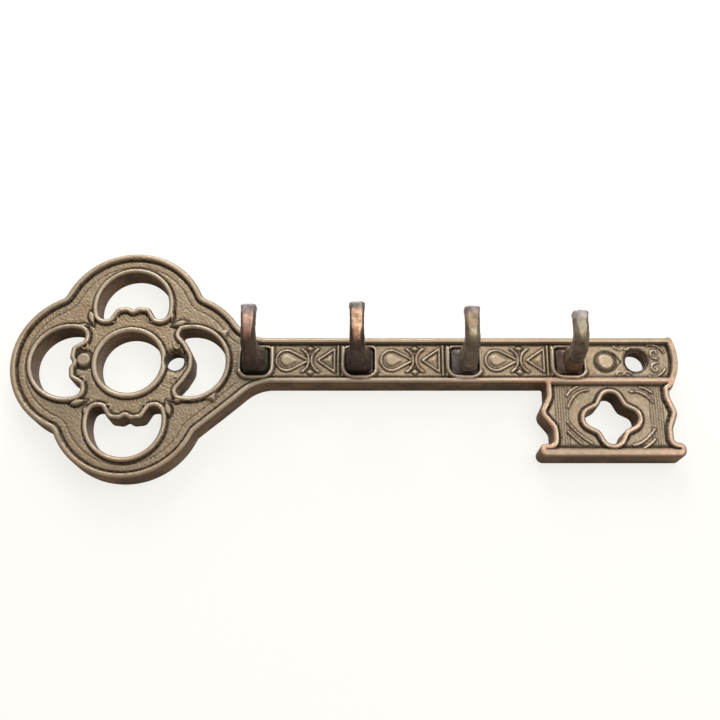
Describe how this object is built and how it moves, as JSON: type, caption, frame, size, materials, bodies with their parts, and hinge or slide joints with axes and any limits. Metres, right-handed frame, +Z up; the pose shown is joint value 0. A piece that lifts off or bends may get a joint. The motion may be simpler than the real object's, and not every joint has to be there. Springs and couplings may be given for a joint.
{
  "type": "key rack",
  "caption": "Wall rack for keys: a cast plate shaped like an old door key, with a pierced, lobed bow, a scalloped bit and upturned hooks along its shank.",
  "frame": {"origin": "on the flat back, midway between the two wall-screw holes, at the height of the bow's centre", "axes": "+X along the shank from the bow to the bit, +Y into the wall, +Z up, the way the hooks turn"},
  "size_m": [0.1991, 0.0287, 0.071],
  "materials": {
    "plate_bronze": "antique bronze, satin, worn bright on the rims and dark in the recesses",
    "hook_bronze": "antique bronze, rubbed to copper on the prongs' faces",
    "screw_steel": "dulled steel"
  },
  "bodies": {
    "root": {"key_plate": "plate_bronze", "hook_1": "hook_bronze", "hook_2": "hook_bronze", "hook_3": "hook_bronze", "hook_4": "hook_bronze", "hook_screw_1": "screw_steel", "hook_screw_2": "screw_steel", "hook_screw_3": "screw_steel", "hook_screw_4": "screw_steel"}
  },
  "joints": []
}
